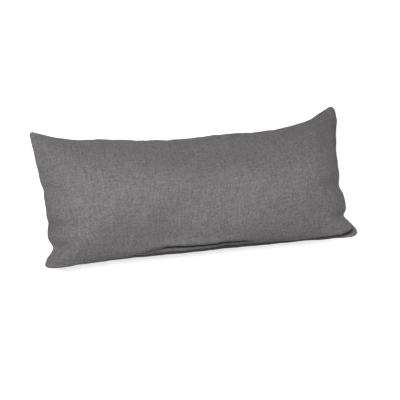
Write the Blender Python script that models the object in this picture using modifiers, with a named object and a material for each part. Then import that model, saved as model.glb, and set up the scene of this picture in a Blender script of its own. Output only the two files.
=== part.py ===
"""Knife-edge lumbar throw pillow: one filled solid, lying on its back with its face up.

Metres, +Z up. X runs along the long sides, Y towards the upper long side, and the origin is under the
middle of the pillow, on the surface that it lies on.
"""

import math
from collections import namedtuple

import bmesh
import bpy
import numpy as np

# Driving dimensions
CORNER_LENGTH = 0.602  # corner tip to corner tip along the long sides
CORNER_WIDTH = 0.264  # corner tip to corner tip along the short sides
FRONT_CROWN = 0.056  # height of the face above the seam
BACK_CROWN = 0.056  # depth of the underside below the seam, where it rests flat
BACK_FULLNESS = 1.24  # how far the back would bulge, as a share of its depth, were it not resting
REST_BLEND = 0.10  # softness of the change from bulge to resting flat, as a share of the depth
SEAM_THICKNESS = 0.004  # the two folded panel edges at the knife edge
END_REACH = 0.125  # how far from a short side the fill reaches its full height
EDGE_ANGLE = math.radians(64)  # slope of the panels where they meet at the seam
TIP_RADII = ((0.009, 0.014), (0.011, 0.011))  # rounding of the lower and upper corner tips, left then right
BELLY_PLACE = 0.15  # where the back's belly is fullest, as a share of the half width in from the seam
BELLY_END = 0.004  # how soon the belly starts beside a short side
FRONT_BELLY = 0.4  # the front panel's belly over the lower seam, as a share of the back's

# Resolution of the coarse cage and of its subdivision
CELLS_LONG = 26
CELLS_SHORT = 20
EDGE_CROWDING = 0.4  # how much closer the cage's rows stand near the seam
SUBDIVISION_LEVELS = 1
SEAM_CREASE = 1.0
TIP_CREASE = 0.3

# The seam's path on each side: place runs from -1 to 1 along the side, draw_in is how far the seam stands
# inside the line between the corner tips, lift is its height above the seam's plane, and belly is how far
# the back panel is pushed out under it.
SeamRow = namedtuple("SeamRow", "place draw_in lift belly")
UPPER_SEAM = [
    SeamRow(-1.00, -0.0010, 0.000, 0.0000),
    SeamRow(-0.90, 0.0100, 0.000, 0.0000),
    SeamRow(-0.76, 0.0215, 0.000, 0.0000),
    SeamRow(-0.66, 0.0252, 0.000, 0.0000),
    SeamRow(-0.58, 0.0262, 0.000, 0.0000),
    SeamRow(-0.42, 0.0314, 0.000, 0.0000),
    SeamRow(-0.30, 0.0358, 0.000, 0.0000),
    SeamRow(-0.06, 0.0395, 0.000, 0.0000),
    SeamRow(0.10, 0.0382, 0.000, 0.0000),
    SeamRow(0.24, 0.0366, 0.000, 0.0000),
    SeamRow(0.44, 0.0380, 0.000, 0.0000),
    SeamRow(0.58, 0.0356, 0.000, 0.0000),
    SeamRow(0.80, 0.0230, 0.000, 0.0000),
    SeamRow(0.93, 0.0048, 0.000, 0.0000),
    SeamRow(1.00, -0.0042, 0.000, 0.0000),
]
LOWER_SEAM = [
    SeamRow(-1.00, -0.0005, 0.000, 0.0000),
    SeamRow(-0.92, -0.0034, 0.000, 0.0020),
    SeamRow(-0.70, 0.0002, 0.000, 0.0070),
    SeamRow(-0.45, 0.0034, 0.001, 0.0095),
    SeamRow(-0.29, 0.0034, 0.004, 0.0105),
    SeamRow(-0.10, 0.0025, 0.006, 0.0105),
    SeamRow(0.16, 0.0045, 0.006, 0.0120),
    SeamRow(0.34, 0.0032, 0.004, 0.0110),
    SeamRow(0.52, 0.0020, 0.003, 0.0095),
    SeamRow(0.66, 0.0018, 0.002, 0.0090),
    SeamRow(0.77, 0.0006, 0.002, 0.0100),
    SeamRow(0.85, -0.0008, 0.001, 0.0085),
    SeamRow(0.93, -0.0024, 0.001, 0.0050),
    SeamRow(1.00, -0.0016, 0.004, 0.0000),
]
LEFT_SEAM = [
    SeamRow(-1.00, -0.0025, 0.000, 0.000),
    SeamRow(-0.88, 0.0020, 0.000, 0.000),
    SeamRow(-0.62, 0.0096, 0.000, 0.000),
    SeamRow(-0.46, 0.0088, 0.000, 0.000),
    SeamRow(-0.20, 0.0116, 0.000, 0.000),
    SeamRow(0.20, 0.0073, 0.000, 0.000),
    SeamRow(0.60, 0.0022, 0.000, 0.000),
    SeamRow(1.00, -0.0040, 0.000, 0.000),
]
RIGHT_SEAM = [
    SeamRow(-1.00, -0.0052, 0.000, 0.0000),
    SeamRow(-0.88, 0.0022, 0.000, 0.0000),
    SeamRow(-0.77, 0.0100, 0.000, 0.0000),
    SeamRow(-0.52, 0.0110, 0.000, 0.0000),
    SeamRow(-0.10, 0.0125, 0.000, 0.0000),
    SeamRow(0.30, 0.0095, 0.000, 0.0000),
    SeamRow(0.60, 0.0024, 0.000, 0.0000),
    SeamRow(0.75, -0.0022, 0.000, 0.0000),
    SeamRow(1.00, -0.0030, 0.000, 0.0000),
]

# Puckers that the seam pulls into the short sides: depth of the notch in the outline, depth of its trough in
# the panels, its half width along the side, and how far it reaches in. A negative trough is a swelling.
Pucker = namedtuple("Pucker", "side place depth trough half_width reach")
PUCKERS = [
    Pucker("left", -0.75, 0.0100, 0.0030, 0.013, 0.045),
    Pucker("left", -0.38, 0.0036, 0.0000, 0.013, 0.070),
    Pucker("left", -0.46, 0.0000, 0.0110, 0.014, 0.065),
    Pucker("left", 0.12, 0.0030, 0.0030, 0.012, 0.050),
    Pucker("right", -0.69, 0.0090, 0.0050, 0.009, 0.028),
    Pucker("right", -0.23, 0.0048, 0.0045, 0.013, 0.050),
    Pucker("left", -0.56, 0.0000, -0.0040, 0.016, 0.030),
    Pucker("left", 0.40, 0.0000, -0.0020, 0.060, 0.030),
    Pucker("right", 0.35, 0.0000, -0.0040, 0.055, 0.030),
]

# Soft dents in the face, or swellings where the depth is negative: where each starts and ends, in metres from
# the middle of the corner rectangle, how wide it is to either side, and how deep.
Dent = namedtuple("Dent", "x1 y1 x2 y2 half_width depth")
DENTS = [
    Dent(-0.150, -0.110, -0.128, -0.050, 0.018, 0.0030),
    Dent(-0.070, -0.060, -0.085, -0.020, 0.025, 0.0020),
    Dent(-0.052, -0.122, 0.012, -0.058, 0.052, 0.0085),
    Dent(-0.300, 0.036, -0.071, 0.015, 0.052, -0.0030),
    Dent(0.260, -0.075, 0.260, 0.015, 0.052, -0.0030),
    Dent(-0.090, -0.010, 0.250, -0.010, 0.036, -0.0055),
    Dent(-0.142, -0.125, -0.058, -0.095, 0.052, 0.0050),
    Dent(0.292, -0.042, 0.228, 0.022, 0.052, -0.0080),
    Dent(-0.278, -0.087, -0.082, -0.053, 0.022, -0.0040),
    Dent(-0.232, -0.102, -0.168, -0.038, 0.015, -0.0027),
    Dent(-0.045, -0.050, 0.045, -0.050, 0.022, 0.0040),
    Dent(0.002, 0.053, 0.198, 0.087, 0.022, 0.0040),
    Dent(0.035, -0.110, 0.125, -0.110, 0.022, -0.0040),
    Dent(-0.262, -0.090, -0.262, 0.060, 0.052, -0.0030),
    Dent(-0.229, -0.055, -0.020, -0.072, 0.052, -0.0080),
    Dent(0.048, -0.002, 0.112, 0.062, 0.052, 0.0080),
    Dent(-0.080, 0.050, 0.120, 0.050, 0.022, 0.0035),
    Dent(-0.222, -0.010, -0.178, -0.010, 0.022, 0.0040),
    Dent(-0.292, 0.022, -0.228, -0.042, 0.022, -0.0040),
    Dent(-0.138, -0.085, -0.222, -0.055, 0.052, 0.0056),
    Dent(-0.189, 0.105, 0.149, 0.075, 0.052, 0.0056),
    Dent(0.031, -0.065, 0.369, -0.035, 0.036, -0.0045),
    Dent(-0.168, -0.082, -0.232, -0.018, 0.022, 0.0026),
    Dent(-0.240, -0.072, -0.240, -0.028, 0.022, 0.0024),
    Dent(-0.285, 0.010, -0.195, 0.010, 0.022, -0.0026),
    Dent(-0.178, -0.125, -0.262, -0.095, 0.022, -0.0030),
    Dent(-0.122, -0.125, -0.038, -0.095, 0.022, 0.0032),
    Dent(0.112, -0.122, 0.048, -0.058, 0.022, -0.0028),
    Dent(-0.080, 0.070, 0.120, 0.070, 0.022, 0.0026),
    Dent(0.245, -0.010, 0.255, 0.085, 0.025, -0.0045),
    Dent(-0.145, -0.110, -0.055, -0.110, 0.022, 0.0030),
    Dent(0.028, -0.042, 0.092, 0.022, 0.022, -0.0030),
    Dent(0.192, -0.082, 0.128, -0.018, 0.022, -0.0030),
]

CLOTH_COLOUR = (0.145, 0.139, 0.14, 1.0)
CLOTH_ROUGHNESS = 0.95


def clear_scene():
    for old in list(bpy.data.objects):
        bpy.data.objects.remove(old, do_unlink=True)


def through_rows(rows, column, place):
    """Smooth curve through one column of a seam table, with no overshoot, read at each place."""
    knots = np.array([row.place for row in rows])
    values = np.array([getattr(row, column) for row in rows])
    steps = np.diff(values) / np.diff(knots)
    before, after = steps[:-1], steps[1:]
    same_way = before * after > 0
    total = np.where(same_way, before + after, 1)
    middle = np.where(same_way, 2 * before * after / total, 0)
    slopes = np.concatenate([steps[:1], middle, steps[-1:]])
    index = np.clip(np.searchsorted(knots, place, side="right") - 1, 0, len(rows) - 2)
    span = knots[index + 1] - knots[index]
    t = (place - knots[index]) / span
    rise = t * t * (3 - 2 * t)
    leave = t * (1 - t) ** 2 * span
    arrive = t * t * (t - 1) * span
    return (
        values[index] * (1 - rise)
        + values[index + 1] * rise
        + slopes[index] * leave
        + slopes[index + 1] * arrive
    )


def crowded(position):
    """Moves evenly spaced rows closer together near the seam."""
    return position + EDGE_CROWDING * np.sin(math.pi * position) / math.pi


def arc_rise(share):
    """Height of a circular arc from its edge, 0, to its middle, 1, that meets the seam at EDGE_ANGLE."""
    away = math.sin(EDGE_ANGLE) * (1 - np.clip(share, 0, 1))
    flat = math.cos(EDGE_ANGLE)
    return (np.sqrt(1 - away**2) - flat) / (1 - flat)


def settled(bulge):
    """Bulge of the back, levelled off at 1 where it meets the surface below."""
    low = 1 - REST_BLEND
    blend = bulge - (bulge - low) ** 2 / (4 * REST_BLEND)
    return np.where(bulge < low, bulge, np.where(bulge > 1 + REST_BLEND, 1.0, blend))


def tip_rounding(u, v):
    """How far the rounded corner tips stand inside the square corners, along x and y."""
    radius = np.array(TIP_RADII)[(v > 0).astype(int), (u > 0).astype(int)]
    from_end = (1 - np.abs(u)) * CORNER_LENGTH / 2
    from_side = (1 - np.abs(v)) * CORNER_WIDTH / 2
    p = np.clip(1 - from_end / radius, 0, 1)
    q = np.clip(1 - from_side / radius, 0, 1)
    inward_x = radius * p * (1 - np.sqrt(1 - q * q / 2))
    inward_y = radius * q * (1 - np.sqrt(1 - p * p / 2))
    return -np.sign(u) * inward_x, -np.sign(v) * inward_y


def pucker_at(u, v):
    """Inward pull of the seam's puckers and the depth of their troughs at each place on a panel."""
    pull = np.zeros_like(u)
    trough = np.zeros_like(u)
    for pucker in PUCKERS:
        sign = 1 if pucker.side == "right" else -1
        inside = (1 - sign * u) * CORNER_LENGTH / 2
        along = (v - pucker.place) * CORNER_WIDTH / 2
        across = np.exp(-((along / pucker.half_width) ** 2))
        fade = np.exp(-((inside / pucker.reach) ** 2))
        pull += -sign * pucker.depth * across * fade
        trough += pucker.trough * across * fade * np.clip(inside / 0.012, 0, 1)
    return pull, trough


def dent_at(x, y):
    """Depth of the soft dents at each place on the face."""
    depth = np.zeros_like(x)
    for dent in DENTS:
        run = np.array([dent.x2 - dent.x1, dent.y2 - dent.y1])
        share = ((x - dent.x1) * run[0] + (y - dent.y1) * run[1]) / (run @ run)
        share = np.clip(share, 0, 1)
        distance = np.hypot(x - dent.x1 - share * run[0], y - dent.y1 - share * run[1])
        depth += dent.depth * np.exp(-((distance / dent.half_width) ** 2))
    return depth


def panel_points(u, v, front):
    """Points of the front or back panel, for u and v from -1 to 1 across the pillow."""
    up = (1 + v) / 2
    right = (1 + u) / 2
    pull, trough = pucker_at(u, v)
    tip_x, tip_y = tip_rounding(u, v)

    left_x = -CORNER_LENGTH / 2 + through_rows(LEFT_SEAM, "draw_in", v)
    right_x = CORNER_LENGTH / 2 - through_rows(RIGHT_SEAM, "draw_in", v)
    lower_y = -CORNER_WIDTH / 2 + through_rows(LOWER_SEAM, "draw_in", u)
    upper_y = CORNER_WIDTH / 2 - through_rows(UPPER_SEAM, "draw_in", u)
    x = left_x * (1 - right) + right_x * right + pull + tip_x
    y = lower_y * (1 - up) + upper_y * up + tip_y
    seam_lift = through_rows(LOWER_SEAM, "lift", u) * (1 - up) ** 3

    from_end = (1 - np.abs(u)) * CORNER_LENGTH / 2
    fill = arc_rise(1 - np.abs(v)) * arc_rise(from_end / END_REACH)
    past_seam = (1 + v) / BELLY_PLACE
    swell = past_seam * np.exp(1 - past_seam) * (1 - np.exp(-from_end / BELLY_END))
    belly = through_rows(LOWER_SEAM, "belly", u) * swell
    if front:
        height = FRONT_CROWN * fill - trough - dent_at(x, y) * fill
        return x, y - FRONT_BELLY * belly, seam_lift + SEAM_THICKNESS / 2 + np.maximum(height, 0)
    share = settled(BACK_FULLNESS * fill)
    depth = BACK_CROWN * share - (trough + seam_lift) * (1 - share)
    return x, y - belly, -SEAM_THICKNESS / 2 - np.where(fill > 0, depth, -seam_lift)


def make_cloth():
    cloth = bpy.data.materials.new("slub_weave_cloth")
    cloth.use_nodes = True
    shader = cloth.node_tree.nodes["Principled BSDF"]
    shader.inputs["Base Color"].default_value = CLOTH_COLOUR
    shader.inputs["Roughness"].default_value = CLOTH_ROUGHNESS
    shader.inputs["Metallic"].default_value = 0.0
    return cloth


def make_pillow(collection, cloth):
    """A flat grid and its copy, joined at the rim, shaped into the two panels and smoothed."""
    cage = bmesh.new()
    bmesh.ops.create_grid(cage, x_segments=CELLS_LONG, y_segments=CELLS_SHORT, size=1.0)
    for vertex in cage.verts:
        vertex.co.z = -1.0
    top = bmesh.ops.extrude_face_region(cage, geom=cage.faces[:], use_keep_orig=True)
    for vertex in top["geom"]:
        if isinstance(vertex, bmesh.types.BMVert):
            vertex.co.z = 1.0
    bmesh.ops.recalc_face_normals(cage, faces=cage.faces[:])

    crease = cage.edges.layers.float.new("crease_edge")
    tip_crease = cage.verts.layers.float.new("crease_vert")
    for edge in cage.edges:
        if len({abs(face.normal.z) > 0.5 for face in edge.link_faces}) == 2:
            edge[crease] = SEAM_CREASE
    for vertex in cage.verts:
        if len(vertex.link_edges) == 3:
            vertex[tip_crease] = TIP_CREASE

    for front in (True, False):
        side = [vertex for vertex in cage.verts if (vertex.co.z > 0) == front]
        u = crowded(np.array([vertex.co.x for vertex in side]))
        v = crowded(np.array([vertex.co.y for vertex in side]))
        for vertex, point in zip(side, zip(*panel_points(u, v, front))):
            vertex.co = point

    mesh = bpy.data.meshes.new("pillow")
    cage.to_mesh(mesh)
    cage.free()
    mesh.materials.append(cloth)
    mesh.shade_smooth()
    pillow = bpy.data.objects.new("pillow", mesh)
    collection.objects.link(pillow)
    smoothing = pillow.modifiers.new("smoothing", "SUBSURF")
    smoothing.levels = SUBDIVISION_LEVELS
    smoothing.render_levels = SUBDIVISION_LEVELS
    return pillow


def stand_on_origin(pillow):
    """Moves the mesh so that the middle of the pillow's underside is the origin."""
    bpy.context.view_layer.update()
    shape = pillow.evaluated_get(bpy.context.evaluated_depsgraph_get()).to_mesh()
    points = np.empty(len(shape.vertices) * 3)
    shape.vertices.foreach_get("co", points)
    points = points.reshape(-1, 3)
    low = points.min(axis=0)
    high = points.max(axis=0)
    for vertex in pillow.data.vertices:
        vertex.co.x -= (low[0] + high[0]) / 2
        vertex.co.y -= (low[1] + high[1]) / 2
        vertex.co.z -= low[2]


def main():
    clear_scene()
    collection = bpy.data.collections.new("lumbar_throw_pillow")
    bpy.context.scene.collection.children.link(collection)
    pillow = make_pillow(collection, make_cloth())
    stand_on_origin(pillow)


main()
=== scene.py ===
"""Outdoor throw pillow: a long knife-edge cushion of heathered grey cloth, lying on its back.

The cover is two panels sewn round their edges and turned out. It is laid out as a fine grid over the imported
solid's place, gathered by a short cloth simulation, and finished with its seam, folds and weave.
"""

import math
from collections import namedtuple

import bmesh
import bpy
import numpy as np
from mathutils import Matrix, Vector


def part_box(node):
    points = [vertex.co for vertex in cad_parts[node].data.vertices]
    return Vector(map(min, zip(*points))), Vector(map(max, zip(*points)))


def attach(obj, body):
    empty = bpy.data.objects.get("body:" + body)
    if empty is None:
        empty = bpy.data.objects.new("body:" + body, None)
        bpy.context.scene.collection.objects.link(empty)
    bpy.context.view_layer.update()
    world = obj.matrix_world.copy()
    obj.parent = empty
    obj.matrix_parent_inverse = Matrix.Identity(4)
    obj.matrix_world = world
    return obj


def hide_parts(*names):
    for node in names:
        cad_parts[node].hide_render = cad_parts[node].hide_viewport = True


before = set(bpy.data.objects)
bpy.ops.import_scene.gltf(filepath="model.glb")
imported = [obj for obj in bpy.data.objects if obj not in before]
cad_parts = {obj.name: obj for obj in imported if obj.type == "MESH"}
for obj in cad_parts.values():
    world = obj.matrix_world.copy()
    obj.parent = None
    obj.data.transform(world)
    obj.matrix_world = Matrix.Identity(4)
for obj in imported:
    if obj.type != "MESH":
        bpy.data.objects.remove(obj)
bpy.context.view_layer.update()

# Sizes of the filled cover, in metres
CORNER_LENGTH = 0.602
CORNER_WIDTH = 0.264
FRONT_CROWN = 0.056
BACK_CROWN = 0.056
BACK_FULLNESS = 1.24
REST_BLEND = 0.10
SEAM_THICKNESS = 0.004
END_REACH = 0.125
EDGE_ANGLE = math.radians(64)

# Radius of each corner tip: the lower left and right ones, then the upper ones
TIP_RADII = ((0.009, 0.015), (0.011, 0.017))

# The cloth's belly over the lower seam: how far up it is widest, as a share of half the width, how near the
# ends it starts, and how much of the back panel's belly the front panel has
BELLY_PLACE = 0.15
BELLY_END = 0.004
FRONT_BELLY = 0.4

# The cloth as cut, for the weave's scale, and how far apart the panels lie on it, in cut lengths
CUT_LENGTH = 0.610
CUT_WIDTH = 0.280
PANEL_SPACING = 1.5

# Grids over each panel: the one that shows, and the coarser one that is simulated
CELLS_LONG = 300
CELLS_SHORT = 146
LONG_CROWDING = 0.3
SHORT_CROWDING = 0.7
TRIAL_LONG = 140
TRIAL_SHORT = 62
TRIAL_CROWDING = 0.15

# The rolled edges of the two panels at the seam, and how the painted shade in the seam's groove grows toward
# it
ROLL_STEPS = 4
LEAST_ROLL = math.radians(-25)
GROOVE_SHADE_POWER = 4

# Gathers that the seam draws into the cloth, from the simulation: the cloth, how near the seam and the
# resting height it is held, and how its movement is limited
CLOTH_SETTINGS = {
    "quality": 6,
    "mass": 0.3,
    "tension_stiffness": 15,
    "compression_stiffness": 15,
    "shear_stiffness": 5,
    "bending_stiffness": 1.0,
    "air_damping": 1,
    "use_pressure": True,
    "uniform_pressure_force": 4.0,
}
SPARE_CLOTH = 0.014
SPARE_REACH = 0.040
SEAM_HELD = 1e-6
RESTING_HELD = 0.0015
GATHER_FRAMES = 20
GATHER_SHARE = 0.55
GATHER_CAP = 0.0030
LEAST_MOVE = 1e-9
PLUMP_WINDOW = 9
CALM_REACH = 0.022

# Small waves of the seam line: how many along a long side, how far out and up, and where each starts
SeamWave = namedtuple("SeamWave", "count out up start")
SEAM_WAVES = [
    SeamWave(11, 0.00030, 0.00035, 0.13),
    SeamWave(17, 0.00022, 0.00030, 0.57),
    SeamWave(29, 0.00014, 0.00020, 0.31),
]
WAVE_REACH = 0.012
WAVE_SIDE_SHIFT = 0.37
WAVE_UP_PACE = 1.3
WAVE_CORNER_POWER = 8

# The seam's line along each side, from the left or lower corner, -1, to the other one, 1: how far it is
# drawn in, how far it is lifted, and how far the cloth bellies out over it
SeamRow = namedtuple("SeamRow", "place draw_in lift belly", defaults=(0.0, 0.0))
UPPER_SEAM = [
    SeamRow(-1.00, -0.0010),
    SeamRow(-0.90, 0.0100),
    SeamRow(-0.76, 0.0215),
    SeamRow(-0.66, 0.0252),
    SeamRow(-0.58, 0.0262),
    SeamRow(-0.42, 0.0314),
    SeamRow(-0.30, 0.0358),
    SeamRow(-0.06, 0.0395),
    SeamRow(0.10, 0.0382),
    SeamRow(0.24, 0.0366),
    SeamRow(0.44, 0.0380),
    SeamRow(0.58, 0.0356),
    SeamRow(0.80, 0.0230),
    SeamRow(0.93, 0.0034),
    SeamRow(1.00, -0.0062),
]
LOWER_SEAM = [
    SeamRow(-1.00, -0.0005, 0.000, 0.0000),
    SeamRow(-0.92, -0.0034, 0.000, 0.0020),
    SeamRow(-0.70, 0.0002, 0.000, 0.0070),
    SeamRow(-0.45, 0.0034, 0.001, 0.0095),
    SeamRow(-0.29, 0.0034, 0.004, 0.0105),
    SeamRow(-0.10, 0.0025, 0.006, 0.0105),
    SeamRow(0.16, 0.0045, 0.006, 0.0120),
    SeamRow(0.34, 0.0032, 0.004, 0.0110),
    SeamRow(0.52, 0.0020, 0.003, 0.0095),
    SeamRow(0.66, 0.0018, 0.002, 0.0090),
    SeamRow(0.77, 0.0006, 0.002, 0.0100),
    SeamRow(0.85, -0.0008, 0.001, 0.0085),
    SeamRow(0.93, -0.0024, 0.001, 0.0050),
    SeamRow(1.00, -0.0016, 0.004, 0.0000),
]
LIFT_FADE_POWER = 3
LEFT_SEAM = [
    SeamRow(-1.00, -0.0025),
    SeamRow(-0.88, 0.0020),
    SeamRow(-0.62, 0.0096),
    SeamRow(-0.46, 0.0088),
    SeamRow(-0.20, 0.0116),
    SeamRow(0.20, 0.0073),
    SeamRow(0.60, 0.0022),
    SeamRow(1.00, -0.0040),
]
RIGHT_SEAM = [
    SeamRow(-1.00, -0.0052),
    SeamRow(-0.88, 0.0022),
    SeamRow(-0.77, 0.0100),
    SeamRow(-0.52, 0.0110),
    SeamRow(-0.10, 0.0125),
    SeamRow(0.30, 0.0095),
    SeamRow(0.60, 0.0024),
    SeamRow(0.75, -0.0022),
    SeamRow(1.00, -0.0030),
]

# Puckers of the short sides: how far each pulls the seam in, and the trough that runs from it into the
# cloth, or a swelling where the trough is negative
Pucker = namedtuple("Pucker", "side place depth trough half_width reach")
PUCKERS = [
    Pucker("left", -0.75, 0.0100, 0.0030, 0.013, 0.045),
    Pucker("left", -0.38, 0.0036, 0.0000, 0.013, 0.070),
    Pucker("left", -0.46, 0.0000, 0.0110, 0.014, 0.065),
    Pucker("left", 0.12, 0.0030, 0.0030, 0.012, 0.050),
    Pucker("right", -0.69, 0.0090, 0.0050, 0.009, 0.028),
    Pucker("right", -0.23, 0.0048, 0.0045, 0.013, 0.050),
    Pucker("left", -0.56, 0.0000, -0.0040, 0.016, 0.030),
    Pucker("left", 0.40, 0.0000, -0.0020, 0.060, 0.030),
    Pucker("right", 0.35, 0.0000, -0.0040, 0.055, 0.030),
]
TROUGH_START = 0.012

# Soft dents of the face, each along a line between two places on it: swellings have a negative depth
Dent = namedtuple("Dent", "x1 y1 x2 y2 half_width depth")
DENTS = [
    Dent(-0.150, -0.110, -0.128, -0.050, 0.018, 0.0030),
    Dent(-0.120, -0.118, -0.075, -0.105, 0.012, 0.0040),
    Dent(-0.070, -0.060, -0.085, -0.020, 0.025, 0.0020),
    Dent(-0.052, -0.122, 0.012, -0.058, 0.052, 0.0085),
    Dent(-0.300, 0.036, -0.071, 0.015, 0.052, -0.0030),
    Dent(0.260, -0.075, 0.260, 0.015, 0.052, -0.0030),
    Dent(-0.090, -0.010, 0.250, -0.010, 0.036, -0.0055),
    Dent(-0.142, -0.125, -0.058, -0.095, 0.052, 0.0050),
    Dent(0.292, -0.042, 0.228, 0.022, 0.052, -0.0080),
    Dent(-0.278, -0.087, -0.082, -0.053, 0.022, -0.0040),
    Dent(-0.232, -0.102, -0.168, -0.038, 0.015, -0.0027),
    Dent(-0.045, -0.050, 0.045, -0.050, 0.022, 0.0040),
    Dent(0.002, 0.053, 0.198, 0.087, 0.022, 0.0040),
    Dent(0.035, -0.110, 0.125, -0.110, 0.022, -0.0040),
    Dent(-0.262, -0.090, -0.262, 0.060, 0.052, -0.0030),
    Dent(-0.229, -0.055, -0.020, -0.072, 0.052, -0.0080),
    Dent(0.048, -0.002, 0.112, 0.062, 0.052, 0.0080),
    Dent(-0.080, 0.050, 0.120, 0.050, 0.022, 0.0035),
    Dent(-0.222, -0.010, -0.178, -0.010, 0.022, 0.0040),
    Dent(-0.292, 0.022, -0.228, -0.042, 0.022, -0.0040),
    Dent(-0.275, -0.052, -0.205, -0.034, 0.011, 0.0026),
    Dent(-0.257, -0.087, -0.195, -0.056, 0.011, -0.0018),
    Dent(-0.126, -0.048, -0.128, -0.088, 0.004, -0.0010),
    Dent(-0.139, -0.048, -0.141, -0.092, 0.006, 0.0010),
    Dent(0.212, -0.045, 0.216, -0.095, 0.012, 0.0022),
    Dent(-0.138, -0.085, -0.222, -0.055, 0.052, 0.0056),
    Dent(-0.189, 0.105, 0.149, 0.075, 0.052, 0.0056),
    Dent(0.031, -0.065, 0.369, -0.035, 0.036, -0.0045),
    Dent(-0.168, -0.082, -0.232, -0.018, 0.022, 0.0026),
    Dent(-0.240, -0.072, -0.240, -0.028, 0.022, 0.0024),
    Dent(-0.285, 0.010, -0.195, 0.010, 0.022, -0.0026),
    Dent(-0.178, -0.125, -0.262, -0.095, 0.022, -0.0030),
    Dent(-0.122, -0.125, -0.038, -0.095, 0.022, 0.0032),
    Dent(0.112, -0.122, 0.048, -0.058, 0.022, -0.0028),
    Dent(-0.080, 0.070, 0.120, 0.070, 0.022, 0.0026),
    Dent(0.245, -0.010, 0.255, 0.085, 0.025, -0.0045),
    Dent(-0.145, -0.110, -0.055, -0.110, 0.022, 0.0030),
    Dent(0.028, -0.042, 0.092, 0.022, 0.022, -0.0030),
    Dent(0.192, -0.082, 0.128, -0.018, 0.022, -0.0030),
]

# The fold over the lower seam: how far up the cloth it lies, how deep it is, the bulge that hangs over it,
# the soft shade about it, and the shade on the back panel under the seam
FoldRow = namedtuple("FoldRow", "place rise depth bulge soft under")
LOWER_FOLD = [
    FoldRow(-1.00, 0.0000, 0.0000, 0.0000, 0.00, 0.15),
    FoldRow(-0.52, 0.0000, 0.0000, 0.0000, 0.00, 0.45),
    FoldRow(-0.42, 0.0020, 0.0018, 0.0005, 0.17, 0.75),
    FoldRow(-0.36, 0.0045, 0.0018, 0.0012, 0.42, 0.80),
    FoldRow(-0.30, 0.0080, 0.0024, 0.0018, 0.36, 0.80),
    FoldRow(-0.24, 0.0098, 0.0058, 0.0026, 0.18, 0.80),
    FoldRow(-0.10, 0.0084, 0.0066, 0.0030, 0.14, 0.80),
    FoldRow(0.02, 0.0077, 0.0075, 0.0030, 0.14, 0.90),
    FoldRow(0.12, 0.0088, 0.0070, 0.0028, 0.18, 1.00),
    FoldRow(0.24, 0.0074, 0.0045, 0.0015, 0.18, 1.00),
    FoldRow(0.36, 0.0030, 0.0000, 0.0000, 0.15, 1.00),
    FoldRow(0.62, 0.0000, 0.0000, 0.0000, 0.05, 0.90),
    FoldRow(0.80, 0.0000, 0.0035, 0.0012, 0.05, 0.50),
    FoldRow(0.88, 0.0026, 0.0058, 0.0018, 0.08, 0.08),
    FoldRow(0.93, 0.0066, 0.0062, 0.0014, 0.08, 0.00),
    FoldRow(0.97, 0.0098, 0.0056, 0.0008, 0.05, 0.00),
    FoldRow(1.00, 0.0115, 0.0000, 0.0000, 0.00, 0.00),
]
FOLD_HALF_WIDTH = 0.0030
FOLD_FULL_SHADE = 0.0055
FOLD_SHADE_POWER = 1.4
SOFT_REACH = 0.010
UNDER_REACH = 0.016
BULGE_RISE = 0.008
BULGE_HALF_WIDTH = 0.007

# Painted highlight: cloth painted lighter beside the seam, where its rolled edge catches the light
RIM_HIGHLIGHT = 0.16
HIGHLIGHT_REACH = 0.0018

# Shade where the front panel rolls in beside the seam at its ends
EndShade = namedtuple("EndShade", "side place half_width reach shade")
END_SHADES = [
    EndShade("left", -0.42, 0.018, 0.014, 0.34),
    EndShade("left", -0.05, 0.045, 0.008, 0.14),
    EndShade("left", -0.88, 0.024, 0.045, 0.17),
    EndShade("right", 0.72, 0.050, 0.030, 0.17),
    EndShade("right", 0.35, 0.040, 0.008, 0.10),
]

# The weave's yarns, in metres: their pitch, how far they drift from straight lines, and the drift's scale
YARN_PITCH = 0.0013
DRIFT = 0.0005
DRIFT_SCALE = 70.0
DRIFT_SEED = 3.7

# The tone of the yarns: length of the flecks, streaks and bands along them, the bands' strength, and a seed
Yarn = namedtuple("Yarn", "fleck streak band contrast seed")
WARP = Yarn(0.0040, 0.030, 0.012, 0.30, 0.3)
WEFT = Yarn(0.0030, 0.016, 0.012, 0.12, 5.1)
FLECK_CONTRAST = 0.95
STREAK_CONTRAST = 0.52
FLECK_YARN_STEP = 3.713
STREAK_YARN_STEP = 5.279
STREAK_SEED = 9.4
BAND_SEED = 17.2
BAND_WIDTH = 0.0019

# Round nubs in the cloth and broad patches of it
NUB_SIZE = 0.0046
NUB_CONTRAST = 0.26
PATCH_SCALE = 22.0
PATCH_CONTRAST = 0.03

# Height of the weave: its round yarns, their waves over and under each other, and its fibres
ROUND_SHARE = 0.6
WAVE_SHARE = 0.4
CROSSING_STEEPNESS = 3
# Painted shade in the weave's hollows: the height below which it starts, and how dark it is
HOLLOW_LEVEL = 0.55
HOLLOW_SHADE = 0.6
FIBRE_SCALE = 900
FIBRE_SEED = 1.3
FIBRE_SHARE = 0.25
TONE_SHARE = 0.2
BUMP_STRENGTH = 1.0
BUMP_DEPTH = 0.00016

# Colours of the yarns and how they mingle, and the finish of the cloth
WARM_GREY = (0.1494, 0.1380, 0.1400, 1.0)
COOL_GREY = (0.1420, 0.1408, 0.1418, 1.0)
FINE_WARMTH_SCALE = 430.0
FINE_WARMTH = 0.1
SLOW_WARMTH_SCALE = 26.0
SLOW_WARMTH = 1.4
# How far the shade attribute's painted shade darkens the cloth
SHADE_DEPTH = 0.75
CLOTH_ROUGHNESS = 0.88
TONE_ROUGHNESS = 0.12
CLOTH_SPECULAR = 0.25
CLOTH_SHEEN = 0.12
SHEEN_ROUGHNESS = 0.5

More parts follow.
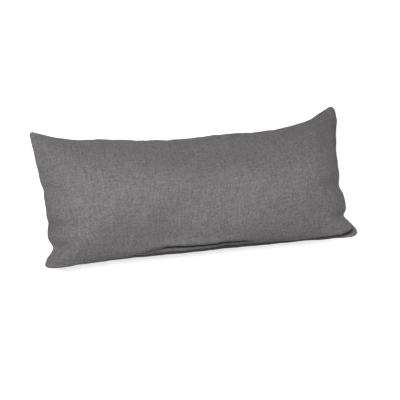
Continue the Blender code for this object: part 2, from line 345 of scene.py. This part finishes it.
# The room: its radius, the floor's half width, and how the floor's own glow grows with distance
ROOM_RADIUS = 8.0
FLOOR_REACH = 1.2 * ROOM_RADIUS
FLOOR_NEAR = 0.6
FLOOR_FAR = 1.8
FLOOR_NEAR_GLOW = (0.636, 0.636, 0.636, 1.0)
FLOOR_FAR_GLOW = (1.0, 1.0, 1.0, 1.0)
FLOOR_PAINT = (0.35, 0.35, 0.35, 1.0)
FLOOR_ROUGHNESS = 0.9
BACKDROP_SEGMENTS = 48
ROOM_GLOW = 1.1
BLACK = (0.0, 0.0, 0.0, 1.0)
WHITE = (1.0, 1.0, 1.0, 1.0)

# Softboxes, all turned to the pillow, with their power in watts
Softbox = namedtuple("Softbox", "name place size power")
SOFTBOXES = [
    Softbox("key_softbox", (-0.6, 0.0, 1.35), 0.6, 31),
    Softbox("low_softbox", (-1.4, 0.1, 0.45), 0.6, 4.5),
    Softbox("right_softbox", (0.9, 0.0, 1.15), 0.8, 10),
    Softbox("front_softbox", (0.6, -0.6, 1.2), 0.8, 8),
]
LIT_PLACE = Vector((0, 0, 0.06))
SKY_STRENGTH = 0.05
VIEW_GAMMA = 0.7

# Camera, as seen from the middle of the seam's plane
LENS_MM = 103.4
SENSOR_MM = 36
CAMERA_PLACE = Vector((-0.43816, -0.57774, 2.08630))
CAMERA_RIGHT = Vector((0.9753, -0.1413, 0.1698))
CAMERA_UP = Vector((0.0918, 0.9584, 0.2701))


def through_rows(rows, column, place):
    """Smooth curve through one column of a table, with no overshoot, read at each place."""
    knots = np.array([row.place for row in rows])
    values = np.array([getattr(row, column) for row in rows])
    steps = np.diff(values) / np.diff(knots)
    before, after = steps[:-1], steps[1:]
    same_way = before * after > 0
    total = np.where(same_way, before + after, 1)
    middle = np.where(same_way, 2 * before * after / total, 0)
    slopes = np.concatenate([steps[:1], middle, steps[-1:]])
    index = np.clip(np.searchsorted(knots, place, side="right") - 1, 0, len(rows) - 2)
    span = knots[index + 1] - knots[index]
    t = (place - knots[index]) / span
    rise = t * t * (3 - 2 * t)
    leave = t * (1 - t) ** 2 * span
    arrive = t * t * (t - 1) * span
    return (
        values[index] * (1 - rise)
        + values[index + 1] * rise
        + slopes[index] * leave
        + slopes[index + 1] * arrive
    )


def bell(distance, half_width):
    """Bell curve: 1 where the distance is 0, and next to nothing past two half widths."""
    return np.exp(-((distance / half_width) ** 2))


def grid_places(cells, crowding):
    """Places from -1 to 1 of a panel's rows of points, closer together near the seam."""
    even = np.linspace(-1, 1, cells + 1)
    return even + crowding * np.sin(math.pi * even) / math.pi


def arc_rise(share):
    """Height of a circular arc from its edge, 0, to its middle, 1, that meets the seam at EDGE_ANGLE."""
    away = math.sin(EDGE_ANGLE) * (1 - np.clip(share, 0, 1))
    flat = math.cos(EDGE_ANGLE)
    return (np.sqrt(1 - away**2) - flat) / (1 - flat)


def settled(bulge):
    """Bulge of the back, levelled off at 1 where it meets the surface below."""
    low = 1 - REST_BLEND
    blend = bulge - (bulge - low) ** 2 / (4 * REST_BLEND)
    return np.where(bulge < low, bulge, np.where(bulge > 1 + REST_BLEND, 1.0, blend))


def tip_rounding(u, v):
    """How far the rounded corner tips stand inside the square corners, along x and y."""
    radius = np.array(TIP_RADII)[(v > 0).astype(int), (u > 0).astype(int)]
    from_end = (1 - np.abs(u)) * CORNER_LENGTH / 2
    from_side = (1 - np.abs(v)) * CORNER_WIDTH / 2
    p = np.clip(1 - from_end / radius, 0, 1)
    q = np.clip(1 - from_side / radius, 0, 1)
    inward_x = radius * p * (1 - np.sqrt(1 - q * q / 2))
    inward_y = radius * q * (1 - np.sqrt(1 - p * p / 2))
    return -np.sign(u) * inward_x, -np.sign(v) * inward_y


def from_end_seam(row, u, v):
    """Sign of a row's end of the pillow, how far in from it each place is, and how far along from the row."""
    sign = 1 if row.side == "right" else -1
    inside = (1 - sign * u) * CORNER_LENGTH / 2
    along = (v - row.place) * CORNER_WIDTH / 2
    return sign, inside, along


def pucker_at(u, v):
    """Inward pull of the seam's puckers and the depth of their troughs at each place on a panel."""
    pull = np.zeros_like(u)
    trough = np.zeros_like(u)
    for pucker in PUCKERS:
        sign, inside, along = from_end_seam(pucker, u, v)
        across = bell(along, pucker.half_width)
        fade = bell(inside, pucker.reach)
        pull += -sign * pucker.depth * across * fade
        trough += pucker.trough * across * fade * np.clip(inside / TROUGH_START, 0, 1)
    return pull, trough


def dent_at(x, y):
    """Depth of the soft dents at each place on the face."""
    depth = np.zeros_like(x)
    for dent in DENTS:
        run = np.array([dent.x2 - dent.x1, dent.y2 - dent.y1])
        share = ((x - dent.x1) * run[0] + (y - dent.y1) * run[1]) / (run @ run)
        share = np.clip(share, 0, 1)
        distance = np.hypot(x - dent.x1 - share * run[0], y - dent.y1 - share * run[1])
        depth += dent.depth * bell(distance, dent.half_width)
    return depth


def panel_points(u, v, front):
    """Points of the front or back panel, for u and v from -1 to 1 across the pillow."""
    up = (1 + v) / 2
    right = (1 + u) / 2
    pull, trough = pucker_at(u, v)
    tip_x, tip_y = tip_rounding(u, v)

    left_x = -CORNER_LENGTH / 2 + through_rows(LEFT_SEAM, "draw_in", v)
    right_x = CORNER_LENGTH / 2 - through_rows(RIGHT_SEAM, "draw_in", v)
    lower_y = -CORNER_WIDTH / 2 + through_rows(LOWER_SEAM, "draw_in", u)
    upper_y = CORNER_WIDTH / 2 - through_rows(UPPER_SEAM, "draw_in", u)
    x = left_x * (1 - right) + right_x * right + pull + tip_x
    y = lower_y * (1 - up) + upper_y * up + tip_y
    seam_lift = through_rows(LOWER_SEAM, "lift", u) * (1 - up) ** LIFT_FADE_POWER

    from_end = (1 - np.abs(u)) * CORNER_LENGTH / 2
    fill = arc_rise(1 - np.abs(v)) * arc_rise(from_end / END_REACH)
    past_seam = (1 + v) / BELLY_PLACE
    swell = past_seam * np.exp(1 - past_seam) * (1 - np.exp(-from_end / BELLY_END))
    belly = through_rows(LOWER_SEAM, "belly", u) * swell
    if front:
        height = FRONT_CROWN * fill - trough - dent_at(x, y) * fill
        y = y - FRONT_BELLY * belly
        z = seam_lift + SEAM_THICKNESS / 2 + np.maximum(height, 0)
    else:
        share = settled(BACK_FULLNESS * fill)
        depth = BACK_CROWN * share - (trough + seam_lift) * (1 - share)
        y = y - belly
        z = -SEAM_THICKNESS / 2 - np.where(fill > 0, depth, -seam_lift)
    return np.stack([x, y, z], axis=2)


def panel_pair(across, along):
    """Points of the front and back panels on one grid, as front or back, row, column and axis."""
    u, v = np.meshgrid(across, along, indexing="ij")
    return np.stack([panel_points(u, v, front) for front in (True, False)])


def grid_faces(shape):
    """Four-cornered faces of one grid of points, facing up."""
    index = np.arange(shape[0] * shape[1]).reshape(shape)
    corners = [index[:-1, :-1], index[1:, :-1], index[1:, 1:], index[:-1, 1:]]
    return np.stack(corners, axis=2).reshape(-1, 4)


def rim_places(shape):
    """Row and column of each point round the edge of a grid, in order, with no point twice."""
    last_row, last_column = shape[0] - 1, shape[1] - 1
    lower = [(i, 0) for i in range(last_row)]
    right = [(last_row, j) for j in range(last_column)]
    upper = [(i, last_column) for i in range(last_row, 0, -1)]
    left = [(0, j) for j in range(last_column, 0, -1)]
    return np.array(lower + right + upper + left).T


def mesh_object(name, points, faces):
    """A new object in the scene, with a mesh of these points and faces."""
    mesh = bpy.data.meshes.new(name)
    mesh.from_pydata(points.tolist(), [], faces.tolist())
    piece = bpy.data.objects.new(name, mesh)
    bpy.context.collection.objects.link(piece)
    return piece


def trial_cover(pair):
    """Coarse cover for the simulation, its panels joined by a strip along the seam."""
    shape = pair.shape[1:3]
    count = shape[0] * shape[1]
    front = grid_faces(shape)
    row, column = rim_places(shape)
    edge = row * shape[1] + column
    following = np.roll(edge, -1)
    strip = np.stack([following, edge, edge + count, following + count], axis=1)
    faces = np.concatenate([front, front[:, ::-1] + count, strip])
    return mesh_object("trial_cover", pair.reshape(-1, 3), faces)


def plumped(pair, across, along):
    """The coarse cover after it is blown up with the seam, which is shorter than its cloth, held still."""
    trial = trial_cover(pair)
    points = pair.reshape(-1, 3)
    u, v = np.meshgrid(across, along, indexing="ij")
    inside = np.minimum((1 - np.abs(u)) * CORNER_LENGTH / 2, (1 - np.abs(v)) * CORNER_WIDTH / 2)
    inside = np.tile(inside.reshape(-1), 2)
    resting = points[:, 2] < points[:, 2].min() + RESTING_HELD
    held = trial.vertex_groups.new(name="held")
    held.add(np.flatnonzero((inside < SEAM_HELD) | resting).tolist(), 1.0, "REPLACE")
    spare = trial.vertex_groups.new(name="spare")
    for index, weight in enumerate(1 - bell(inside, SPARE_REACH)):
        spare.add([index], float(weight), "REPLACE")

    cloth = trial.modifiers.new("cloth", "CLOTH")
    for name, value in CLOTH_SETTINGS.items():
        setattr(cloth.settings, name, value)
    cloth.settings.vertex_group_mass = "held"
    cloth.settings.effector_weights.gravity = 0
    cloth.settings.vertex_group_shrink = "spare"
    cloth.settings.shrink_min = -SPARE_CLOTH
    cloth.settings.shrink_max = 0.0
    cloth.collision_settings.use_collision = False
    cloth.collision_settings.use_self_collision = False
    cloth.point_cache.frame_start = 1
    cloth.point_cache.frame_end = GATHER_FRAMES
    for step in range(1, GATHER_FRAMES + 1):
        bpy.context.scene.frame_set(step)
    blown = trial.evaluated_get(bpy.context.evaluated_depsgraph_get()).to_mesh()
    after = np.empty(points.size)
    blown.vertices.foreach_get("co", after)
    bpy.context.scene.frame_set(1)
    bpy.data.objects.remove(trial)
    return after.reshape(pair.shape)


def evened(values, window):
    """Running mean over rows and columns, with the values mirrored about their edges."""
    half = window // 2
    for axis in (1, 2):
        pad = [(0, 0)] * values.ndim
        pad[axis] = (half, half)
        padded = np.pad(values, pad, mode="reflect", reflect_type="odd")
        values = sum(np.roll(padded, -k, axis=axis) for k in range(window)) / window
        values = np.take(values, range(padded.shape[axis] - 2 * half), axis=axis)
    return values


def between(old_places, new_places):
    """Weights that read values known at the old places at the new ones, on a smooth curve."""
    index = np.interp(new_places, old_places, np.arange(len(old_places)))
    base = np.clip(index.astype(int), 0, len(old_places) - 2)
    t = index - base
    shares = [
        -0.5 * t + t * t - 0.5 * t**3,
        1 - 2.5 * t * t + 1.5 * t**3,
        0.5 * t + 2 * t * t - 1.5 * t**3,
        -0.5 * t * t + 0.5 * t**3,
    ]
    weights = np.zeros((len(new_places), len(old_places)))
    for offset, share in zip((-1, 0, 1, 2), shares):
        column = np.clip(base + offset, 0, len(old_places) - 1)
        np.add.at(weights, (np.arange(len(new_places)), column), share)
    return weights


def gathers(across, along):
    """How far the simulation moves each point of the fine grid, without its overall swelling.

    The cloth stays calm beside the lower seam, where the fold hangs over it.
    """
    trial_across = grid_places(TRIAL_LONG, TRIAL_CROWDING)
    trial_along = grid_places(TRIAL_SHORT, TRIAL_CROWDING)
    pair = panel_pair(trial_across, trial_along)
    move = plumped(pair, trial_across, trial_along) - pair
    move = GATHER_SHARE * (move - evened(evened(move, PLUMP_WINDOW), PLUMP_WINDOW))
    size = np.linalg.norm(move, axis=3, keepdims=True)
    move = move * GATHER_CAP * np.tanh(size / GATHER_CAP) / np.maximum(size, LEAST_MOVE)
    long_way, short_way = between(trial_across, across), between(trial_along, along)
    move = np.einsum("ai,bj,pijk->pabk", long_way, short_way, move, optimize=True)
    calm = 1 - bell((1 + along) * CORNER_WIDTH / 2, CALM_REACH)
    return move * calm[:, None]


def seam_wave(u, v):
    """Small waves of the seam line and the cloth beside it, as a movement of each point."""
    move = np.zeros(u.shape + (3,))
    sides = [(u, v, -1, 1), (u, v, 1, 1), (v, u, -1, 0), (v, u, 1, 0)]
    for number, (along, across, sign, axis) in enumerate(sides):
        half = (CORNER_LENGTH, CORNER_WIDTH)[axis] / 2
        fade = np.exp(-(1 - sign * across) * half / WAVE_REACH) * (1 - along**WAVE_CORNER_POWER)
        share = (CORNER_WIDTH, CORNER_LENGTH)[axis] / CORNER_LENGTH
        for wave in SEAM_WAVES:
            start = wave.start + WAVE_SIDE_SHIFT * number
            turn = math.pi * wave.count * share * along + math.tau * start
            move[..., axis] += sign * wave.out * np.sin(turn) * fade
            move[..., 2] += wave.up * np.cos(WAVE_UP_PACE * turn) * fade
    return move


def outward(points):
    """Unit normals of one grid of points, facing up."""
    crossed = np.cross(np.gradient(points, axis=0), np.gradient(points, axis=1))
    return crossed / np.linalg.norm(crossed, axis=2, keepdims=True)


def lengths_along(points, axis):
    """Length of cloth from the first row or column to each point."""
    steps = np.linalg.norm(np.diff(points, axis=axis), axis=2)
    start = np.zeros_like(np.take(steps, [0], axis=axis))
    return np.concatenate([start, np.cumsum(steps, axis=axis)], axis=axis)


def folded(points, u):
    """The front panel with the fold pressed in over its lower seam, and how shaded the fold is."""
    rise = lengths_along(points, 1) - through_rows(LOWER_FOLD, "rise", u)
    soft = through_rows(LOWER_FOLD, "soft", u) * bell(rise, SOFT_REACH)
    valley = through_rows(LOWER_FOLD, "depth", u) * bell(rise, FOLD_HALF_WIDTH)
    hump = bell(rise - BULGE_RISE, BULGE_HALF_WIDTH)
    push = through_rows(LOWER_FOLD, "bulge", u) * hump - valley
    shade = np.maximum(np.clip(valley / FOLD_FULL_SHADE, 0, 1) ** FOLD_SHADE_POWER, soft)
    return points + outward(points) * push[..., None], shade


def end_shade(u, v):
    """Shade on the front panel beside the seam at its left and right ends."""
    shade = np.zeros_like(u)
    for row in END_SHADES:
        _, inside, along = from_end_seam(row, u, v)
        shade += row.shade * bell(along, row.half_width) * bell(inside, row.reach)
    return shade


def rim_highlight(points):
    """How much lighter the cloth is painted beside the seam, a painted highlight where its rolled edge
    catches light.
    """
    highlight = np.zeros(points.shape[:2])
    for axis in (0, 1):
        length = lengths_along(points, axis)
        inside = np.minimum(length, np.take(length, [-1], axis=axis) - length)
        highlight = np.maximum(highlight, bell(inside, HIGHLIGHT_REACH))
    return RIM_HIGHLIGHT * highlight


def under_shade(points, u):
    """Shade on the back panel where it tucks in under the lower seam."""
    return through_rows(LOWER_FOLD, "under", u) * bell(lengths_along(points, 1), UNDER_REACH)


def spread_flat(points):
    """Place of each point on the flat cloth, in metres."""
    places = []
    for axis, cut in ((0, CUT_LENGTH), (1, CUT_WIDTH)):
        length = lengths_along(points, axis)
        places.append(length / np.take(length, [-1], axis=axis) * cut)
    return np.stack(places, axis=2)


def rolled_edge(points, row, column, middle_z, down):
    """Rows of points that carry one panel's edge round into the seam, and the cloth length to each row.

    The level way out of the cover at each point comes third. down is 1 for the front panel, whose edge rolls
    down into the seam, and -1 for the back panel.
    """
    rim = points[row, column]
    inner_row = np.clip(row, 1, points.shape[0] - 2)
    inner_column = np.clip(column, 1, points.shape[1] - 2)
    arriving = rim - points[inner_row, inner_column]
    forward = (np.roll(rim, -1, axis=0) - np.roll(rim, 1, axis=0))[:, :2]
    out = np.stack([forward[:, 1], -forward[:, 0]], axis=1)
    out /= np.linalg.norm(out, axis=1, keepdims=True)
    drop = np.arctan2(-down * arriving[:, 2], (arriving[:, :2] * out).sum(axis=1))
    start = np.clip(math.pi / 2 - drop, LEAST_ROLL, math.pi / 2)
    height = down * (rim[:, 2] - middle_z)
    radius = height / (1 + np.sin(start))
    rows, lengths = [], []
    for step in range(1, ROLL_STEPS + 1):
        angle = start + (-math.pi / 2 - start) * step / ROLL_STEPS
        reach = radius * (np.cos(angle) - np.cos(start))
        plan = rim[:, :2] + out * reach[:, None]
        rise = middle_z + down * radius * (1 + np.sin(angle))
        rows.append(np.column_stack([plan, rise]))
        lengths.append(radius * (start - angle))
    return rows, lengths, out


def strip_faces(last, here, side):
    """Faces between two rings of points round the rim, facing out on the front or back side."""
    ring = [last, np.roll(last, -1), np.roll(here, -1), here]
    turn = -1 if side == 0 else 1
    return np.stack(ring[::turn], axis=1)


def sewn_up(pair, panel_shades):
    """Points, shades and faces of both panels and their rolled edges, which meet in the seam.

    The faces come a second time over the places on the flat cloth, where the two edges stay apart.
    """
    shape = pair.shape[1:3]
    count = shape[0] * shape[1]
    row, column = rim_places(shape)
    rim = row * shape[1] + column
    around = np.arange(len(rim))
    middle_z = pair[:, row, column, 2].mean(axis=0)
    edges = [rolled_edge(pair[side], row, column, middle_z, (1, -1)[side]) for side in (0, 1)]

    points = [panel.reshape(-1, 3) for panel in pair]
    shades = [shade.reshape(-1) for shade in panel_shades]
    flat_front = spread_flat(pair[0])
    flat_back = spread_flat(pair[1]) + [PANEL_SPACING * CUT_LENGTH, 0]
    flat = [flat_front.reshape(-1, 2), flat_back.reshape(-1, 2)]
    faces =[grid_faces(shape), grid_faces(shape)[:, ::-1] + count]
    flat_faces = list(faces)
    total = flat_total = 2 * count
    seam = total + 2 * (ROLL_STEPS - 1) * len(rim) + around
    for side, (rows, lengths, out) in enumerate(edges):
        last = flat_last = rim + side * count
        for step in range(ROLL_STEPS):
            here, flat_here = seam, flat_total + around
            if step < ROLL_STEPS - 1:
                here = total + around
                points.append(rows[step])
                # Painted shade in the seam's groove, darker on rows nearer the seam
                groove_shade = ((step + 1) / ROLL_STEPS) ** GROOVE_SHADE_POWER
                shades.append(np.maximum(shades[side][rim], groove_shade))
                total += len(rim)
            flat.append(flat[side][rim] + out * lengths[step][:, None])
            flat_total += len(rim)
            faces.append(strip_faces(last, here, side))
            flat_faces.append(strip_faces(flat_last, flat_here, side))
            last, flat_last = here, flat_here
    points.append((edges[0][0][-1] + edges[1][0][-1]) / 2)
    # Full painted shade on the seam line itself
    shades.append(np.ones(len(rim)))
    lists = (points, shades, faces, flat, flat_faces)
    return [np.concatenate(parts) for parts in lists]


def make_cover():
    """The cover as one closed mesh, with its flat cloth places as UV map and its shade as attribute."""
    across = grid_places(CELLS_LONG, LONG_CROWDING)
    along = grid_places(CELLS_SHORT, SHORT_CROWDING)
    u, v = np.meshgrid(across, along, indexing="ij")
    pair = panel_pair(across, along)
    offset = offset_to_solid(pair)
    pair = pair + gathers(across, along)
    pair = pair + seam_wave(u, v)
    pair[0], fold_shade = folded(pair[0], u)
    pair[1, :, :, 2] = np.maximum(pair[1, :, :, 2], -SEAM_THICKNESS / 2 - BACK_CROWN)
    # Painted shade of the fold, the ends and under the lower seam, less the painted highlight by the seam
    front_shade = fold_shade + end_shade(u, v) - rim_highlight(pair[0])
    back_shade = under_shade(pair[1], u) - rim_highlight(pair[1])
    points, shades, faces, flat, flat_faces = sewn_up(pair, [front_shade, back_shade])

    cover = mesh_object("pillow_cover", points + offset, faces)
    weave_map = cover.data.uv_layers.new(name="cloth")
    weave_map.uv.foreach_set("vector", flat[flat_faces.reshape(-1)].astype(np.float32).reshape(-1))
    shade = cover.data.attributes.new("shade", "FLOAT", "POINT")
    shade.data.foreach_set("value", shades.astype(np.float32))
    cover.data.shade_smooth()
    return cover, Vector(offset)


def offset_to_solid(pair):
    """Move that brings the panels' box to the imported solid's box, middle on middle and base on base."""
    low, high = (np.array(corner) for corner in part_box("pillow"))
    points = pair.reshape(-1, 3)
    offset = (low + high) / 2 - (points.min(axis=0) + points.max(axis=0)) / 2
    offset[2] = low[2] - points[:, 2].min()
    return offset


class Wire:
    """An output socket of a material's nodes, used as a value in sums."""

    def __init__(self, tree, socket=None):
        self.tree = tree
        self.socket = socket

    def node(self, kind, settings, values, output=0):
        """Adds a node of any kind: its settings first, then the values or wires of its inputs."""
        added = self.tree.nodes.new(kind)
        for name, setting in settings.items():
            setattr(added, name, setting)
        for place, value in values.items():
            if isinstance(value, Wire):
                self.tree.links.new(value.socket, added.inputs[place])
            else:
                added.inputs[place].default_value = value
        return Wire(self.tree, added.outputs[output])

    def maths(self, operation, *others):
        """This and the other values or wires, put through a Math node."""
        values = {place + 1: other for place, other in enumerate(others)}
        return self.node("ShaderNodeMath", {"operation": operation}, {0: self, **values})

    def __add__(self, other):
        return self.maths("ADD", other)

    def __sub__(self, other):
        return self.maths("SUBTRACT", other)

    def __mul__(self, other):
        return self.maths("MULTIPLY", other)

    def __truediv__(self, other):
        return self.maths("DIVIDE", other)

    def __rsub__(self, other):
        return self.node("ShaderNodeMath", {"operation": "SUBTRACT"}, {0: other, 1: self})

    __radd__ = __add__
    __rmul__ = __mul__

    def clamped(self):
        """This value, kept between 0 and 1."""
        return self.maths("MAXIMUM", 0.0).maths("MINIMUM", 1.0)

    def place(self, x, y, z):
        """A point made of three values or wires."""
        return self.node("ShaderNodeCombineXYZ", {}, {"X": x, "Y": y, "Z": z})

    def split(self):
        """The x and the y of this point."""
        x = self.node("ShaderNodeSeparateXYZ", {}, {"Vector": self})
        return x, Wire(self.tree, x.socket.node.outputs["Y"])

    def speckle(self, scale=1.0, detail=0.0):
        """Soft noise about 0 at this point."""
        values = {"Vector": self, "Scale": scale, "Detail": detail}
        return self.node("ShaderNodeTexNoise", {"noise_dimensions": "3D"}, values) - 0.5

    def mix(self, first, second):
        """The first colour where this is 0, the second where it is 1."""
        # A Mix node's colour sockets share their names with its other sockets, so they go by number
        values = {"Factor": self, 6: first, 7: second}
        return self.node("ShaderNodeMix", {"data_type": "RGBA"}, values, output=2)


def new_paint(name):
    """A material with its node tree and shader."""
    paint = bpy.data.materials.new(name)
    paint.use_nodes = True
    return paint, paint.node_tree, paint.node_tree.nodes["Principled BSDF"]


def set_inputs(shader, values):
    """Sets the shader's own sockets, which are the same all over the surface."""
    for name, value in values.items():
        shader.inputs[name].default_value = value


def yarn_tone(wire, number, across, along, yarn):
    """Lightness of one heathered yarn along its length: flecks, streaks and bands, about 0."""
    flecks = wire.place(number * FLECK_YARN_STEP, along / yarn.fleck, yarn.seed).speckle(detail=1.0)
    streak_place = wire.place(number * STREAK_YARN_STEP, along / yarn.streak, yarn.seed + STREAK_SEED)
    streaks = streak_place.speckle()
    bands = wire.place(across / BAND_WIDTH, along / yarn.band, yarn.seed + BAND_SEED).speckle()
    return flecks * FLECK_CONTRAST + streaks * STREAK_CONTRAST + bands * yarn.contrast


def make_cloth():
    """Plain weave of heathered yarns, read from the cover's flat cloth places."""
    cloth, tree, shader = new_paint("heathered_weave")
    flat = Wire(tree).node("ShaderNodeUVMap", {"uv_map": "cloth"}, {})
    across, along = flat.split()

    drift = flat.speckle(scale=DRIFT_SCALE)
    other_drift = flat.place(along, across, DRIFT_SEED).speckle(scale=DRIFT_SCALE)
    warp = (across + drift * DRIFT) / YARN_PITCH
    weft = (along + other_drift * DRIFT) / YARN_PITCH
    warp_number, weft_number = warp.maths("FLOOR"), weft.maths("FLOOR")

    warp_wave = ((weft + warp_number - 0.5) * math.pi).maths("COSINE")
    weft_wave = ((warp + weft_number - 0.5) * math.pi).maths("COSINE")
    warp_round = (warp.maths("FRACT") * math.pi).maths("SINE")
    weft_round = (weft.maths("FRACT") * math.pi).maths("SINE")
    warp_height = warp_round * ROUND_SHARE + warp_wave * WAVE_SHARE
    weft_height = weft_round * ROUND_SHARE - weft_wave * WAVE_SHARE
    on_top = ((warp_height - weft_height) * CROSSING_STEEPNESS + 0.5).clamped()
    height = warp_height.maths("MAXIMUM", weft_height)

    warp_tone = yarn_tone(flat, warp_number, across, along, WARP)
    weft_tone = yarn_tone(flat, weft_number, along, across, WEFT)
    tone = weft_tone + (warp_tone - weft_tone) * on_top
    # Painted shade in the hollows between the yarns
    hollow_shade = (HOLLOW_LEVEL - height).maths("MAXIMUM", 0.0) * HOLLOW_SHADE
    patches = flat.speckle(scale=PATCH_SCALE, detail=2.0) * PATCH_CONTRAST
    nubs = flat.speckle(scale=1 / NUB_SIZE) * NUB_CONTRAST
    # Painted shade from the shade attribute darkens the colour; where it is below 0 it is a painted highlight
    shade = flat.node("ShaderNodeAttribute", {"attribute_name": "shade"}, {}, output="Fac")
    lightness = (tone + patches + nubs + 1.0 - hollow_shade) * (1.0 - shade * SHADE_DEPTH)

    fine_warmth = flat.speckle(scale=FINE_WARMTH_SCALE) * FINE_WARMTH
    slow_warmth = flat.speckle(scale=SLOW_WARMTH_SCALE, detail=1.0) * SLOW_WARMTH
    colour = (fine_warmth + slow_warmth + 0.5).mix(COOL_GREY, WARM_GREY)
    lit = flat.node("ShaderNodeVectorMath", {"operation": "SCALE"}, {0: colour, "Scale": lightness})
    fibre_place = flat.place(across * FIBRE_SCALE, along * FIBRE_SCALE, FIBRE_SEED)
    fibres = fibre_place.speckle(detail=1.0)
    relief = height + fibres * FIBRE_SHARE + tone * TONE_SHARE
    raised = {"Height": relief, "Strength": BUMP_STRENGTH, "Distance": BUMP_DEPTH}
    bump = flat.node("ShaderNodeBump", {}, raised)
    tree.links.new(lit.socket, shader.inputs["Base Color"])
    tree.links.new((tone * TONE_ROUGHNESS + CLOTH_ROUGHNESS).socket, shader.inputs["Roughness"])
    tree.links.new(bump.socket, shader.inputs["Normal"])
    finish = {
        "Specular IOR Level": CLOTH_SPECULAR,
        "Sheen Weight": CLOTH_SHEEN,
        "Sheen Roughness": SHEEN_ROUGHNESS,
    }
    set_inputs(shader, finish)
    return cloth


def make_floor():
    """Pale floor, which keeps its tone far out where the softboxes no longer reach."""
    corners = np.array([(-1, -1, 0), (1, -1, 0), (1, 1, 0), (-1, 1, 0)]) * FLOOR_REACH
    floor = mesh_object("floor", corners, np.array([[0, 1, 2, 3]]))
    paint, tree, shader = new_paint("floor_white")
    spot = Wire(tree).node("ShaderNodeTexCoord", {}, {}, output="Object")
    away = spot.node("ShaderNodeVectorMath", {"operation": "LENGTH"}, {0: spot}, output="Value")
    far = ((away - FLOOR_NEAR) / (FLOOR_FAR - FLOOR_NEAR)).clamped()
    glow = far.mix(FLOOR_NEAR_GLOW, FLOOR_FAR_GLOW)
    tree.links.new(glow.socket, shader.inputs["Emission Color"])
    finish = {"Emission Strength": ROOM_GLOW, "Base Color": FLOOR_PAINT, "Roughness": FLOOR_ROUGHNESS}
    set_inputs(shader, finish)
    floor.data.materials.append(paint)


def make_backdrop():
    """Pale round room, which the camera sees and which throws no light on the pillow."""
    shell = bmesh.new()
    bmesh.ops.create_uvsphere(
        shell, u_segments=BACKDROP_SEGMENTS, v_segments=BACKDROP_SEGMENTS // 2, radius=ROOM_RADIUS
    )
    bmesh.ops.reverse_faces(shell, faces=shell.faces)
    mesh = bpy.data.meshes.new("backdrop")
    shell.to_mesh(mesh)
    shell.free()
    room = bpy.data.objects.new("backdrop", mesh)
    bpy.context.collection.objects.link(room)
    paint, _, shader = new_paint("backdrop_white")
    finish = {
        "Base Color": BLACK,
        "Specular IOR Level": 0.0,
        "Emission Color": WHITE,
        "Emission Strength": ROOM_GLOW,
    }
    set_inputs(shader, finish)
    mesh.materials.append(paint)
    room.visible_diffuse = False
    room.visible_glossy = False
    room.visible_shadow = False


def make_softbox(softbox):
    """A square lamp that faces the pillow."""
    light = bpy.data.lights.new(softbox.name, "AREA")
    light.size = softbox.size
    light.energy = softbox.power
    box = bpy.data.objects.new(softbox.name, light)
    bpy.context.collection.objects.link(box)
    box.location = softbox.place
    box.rotation_euler = (LIT_PLACE - Vector(softbox.place)).to_track_quat("-Z", "Y").to_euler()


def make_studio():
    """White sky with hardly any light of its own, softboxes overhead, and a crisp print."""
    world = bpy.data.worlds.new("studio")
    bpy.context.scene.world = world
    world.use_nodes = True
    set_inputs(world.node_tree.nodes["Background"], {"Color": WHITE, "Strength": SKY_STRENGTH})
    for softbox in SOFTBOXES:
        make_softbox(softbox)
    view = bpy.context.scene.view_settings
    view.view_transform = "Standard"
    view.gamma = VIEW_GAMMA


def make_camera(seam_middle):
    """The photo's view: the camera keeps its place from the middle of the seam's plane."""
    camera_data = bpy.data.cameras.new("camera")
    camera_data.lens = LENS_MM
    camera_data.sensor_width = SENSOR_MM
    camera = bpy.data.objects.new("camera", camera_data)
    bpy.context.collection.objects.link(camera)
    right = CAMERA_RIGHT.normalized()
    up = (CAMERA_UP - right * CAMERA_UP.dot(right)).normalized()
    back = right.cross(up)
    turn = Matrix((right, up, back)).transposed().to_4x4()
    camera.matrix_world = Matrix.Translation(seam_middle + CAMERA_PLACE) @ turn
    bpy.context.scene.camera = camera


cover, seam_middle = make_cover()
cover.data.materials.append(make_cloth())
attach(cover, "root")
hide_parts("pillow")
make_floor()
make_backdrop()
make_studio()
make_camera(seam_middle)
